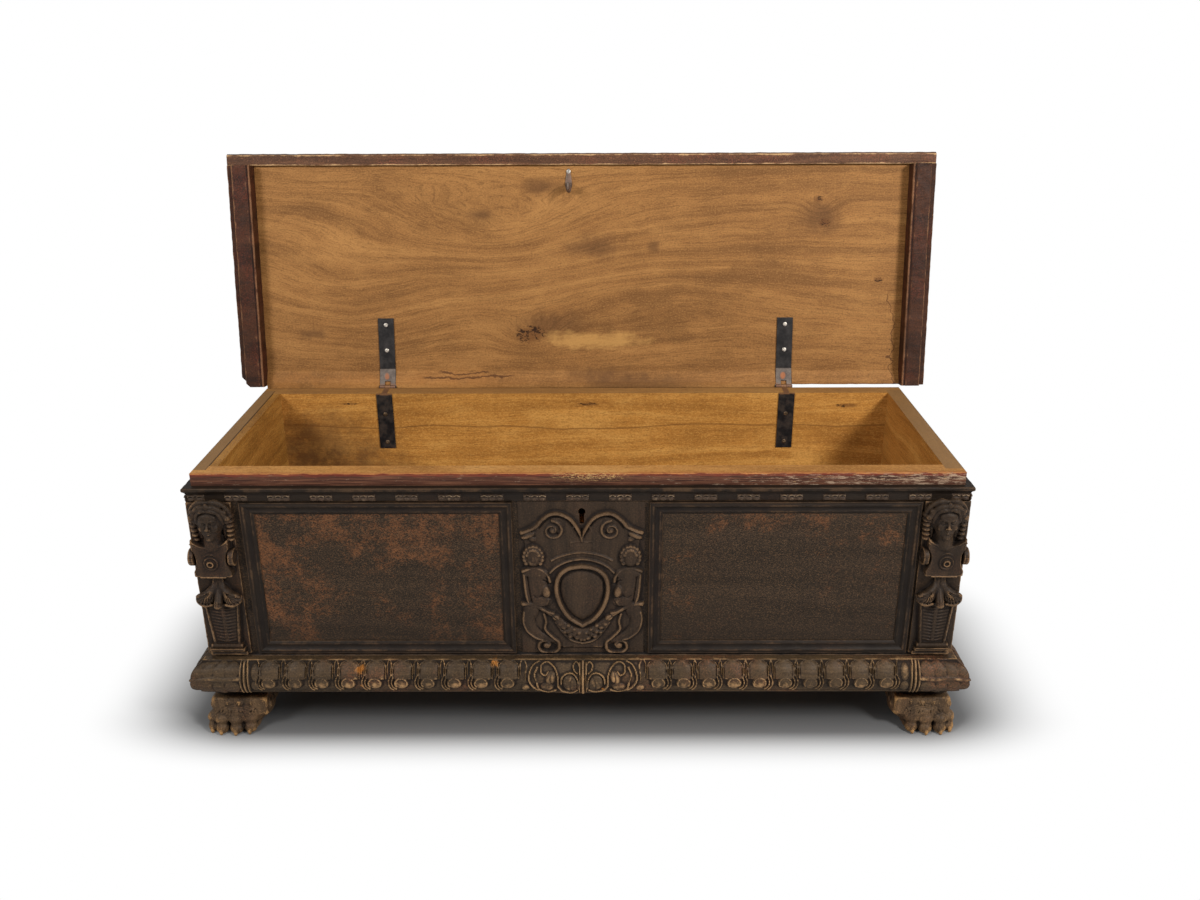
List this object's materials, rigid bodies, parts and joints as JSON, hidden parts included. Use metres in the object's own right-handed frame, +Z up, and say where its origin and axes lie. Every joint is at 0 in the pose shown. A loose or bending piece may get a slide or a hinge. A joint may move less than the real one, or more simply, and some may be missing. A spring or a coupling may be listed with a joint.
{
  "type": "cassone",
  "caption": "Carved walnut marriage chest on lion paws with a blank shield and corner herms; its lid opens on strap hinges.",
  "frame": {"origin": "on the floor, under the middle of the whole chest's bounding box with its lid standing open", "axes": "+X to the right of someone facing the chest, +Y to its back, +Z up"},
  "size_m": [1.672, 0.7158, 1.1647],
  "materials": {
    "dark_walnut": "old dark stain and wax, worn red-brown",
    "worn_walnut": "dark stain rubbed through to golden wood on the toes",
    "lid_walnut": "reddish-purple brown stain, dull wax",
    "inside_walnut": "bare planed walnut, golden brown",
    "forged_iron": "blackened forged iron, a little rust",
    "steel_screws": "dull steel slotted heads"
  },
  "bodies": {
    "chest": {"back_board": "inside_walnut", "back_left_paw": "worn_walnut", "back_right_paw": "worn_walnut", "base_fillet": "dark_walnut", "bottom_plank_back": "inside_walnut", "bottom_plank_front": "inside_walnut", "bottom_plank_middle": "inside_walnut", "carcass_nails": "forged_iron", "cartouche_panel": "dark_walnut", "cornice_front": "dark_walnut", "cornice_left": "dark_walnut", "cornice_right": "dark_walnut", "foot_blocks": "dark_walnut", "frieze_blocks": "dark_walnut", "front_board": "inside_walnut", "front_left_paw": "worn_walnut", "front_right_paw": "worn_walnut", "gadroon_front": "dark_walnut", "gadroon_left": "dark_walnut", "gadroon_right": "dark_walnut", "hinge_chest_screws": "steel_screws", "left_end_moulding": "dark_walnut", "left_end_panel": "dark_walnut", "left_field_panel": "dark_walnut", "left_herm_pilaster": "dark_walnut", "left_hinge_chest_leaf": "forged_iron", "left_hinge_pin": "forged_iron", "left_panel_moulding_bottom": "dark_walnut", "left_panel_moulding_left": "dark_walnut", "left_panel_moulding_right": "dark_walnut", "left_panel_moulding_top": "dark_walnut", "left_side_board": "inside_walnut", "left_side_lining": "inside_walnut", "lock_case": "forged_iron", "lock_key_post": "forged_iron", "lock_nails": "forged_iron", "lock_spring": "forged_iron", "right_end_moulding": "dark_walnut", "right_end_panel": "dark_walnut", "right_field_panel": "dark_walnut", "right_herm_pilaster": "dark_walnut", "right_hinge_chest_leaf": "forged_iron", "right_hinge_pin": "forged_iron", "right_panel_moulding_bottom": "dark_walnut", "right_panel_moulding_left": "dark_walnut", "right_panel_moulding_right": "dark_walnut", "right_panel_moulding_top": "dark_walnut", "right_side_board": "inside_walnut"},
    "lid": {"hinge_lid_screws": "steel_screws", "left_hinge_lid_leaf": "forged_iron", "lid_front_moulding": "lid_walnut", "lid_left_cleat": "lid_walnut", "lid_nails": "forged_iron", "lid_plank": "inside_walnut", "lid_rear_fillet": "inside_walnut", "lid_right_cleat": "lid_walnut", "lid_staple": "forged_iron", "lid_staple_nail": "forged_iron", "right_hinge_lid_leaf": "forged_iron"},
    "lock_bolt": {"lock_bolt": "forged_iron"}
  },
  "joints": [
    {"name": "lid_hinge", "type": "hinge", "parent": "chest", "child": "lid", "pos_m": [0, 0.23009, 0.62], "axis": [1, 0, 0], "range_deg": [0, 99.7]},
    {"name": "bolt_slide", "type": "slide", "parent": "chest", "child": "lock_bolt", "axis": [-1, 0, 0], "range_m": [0, 0.02]}
  ]
}
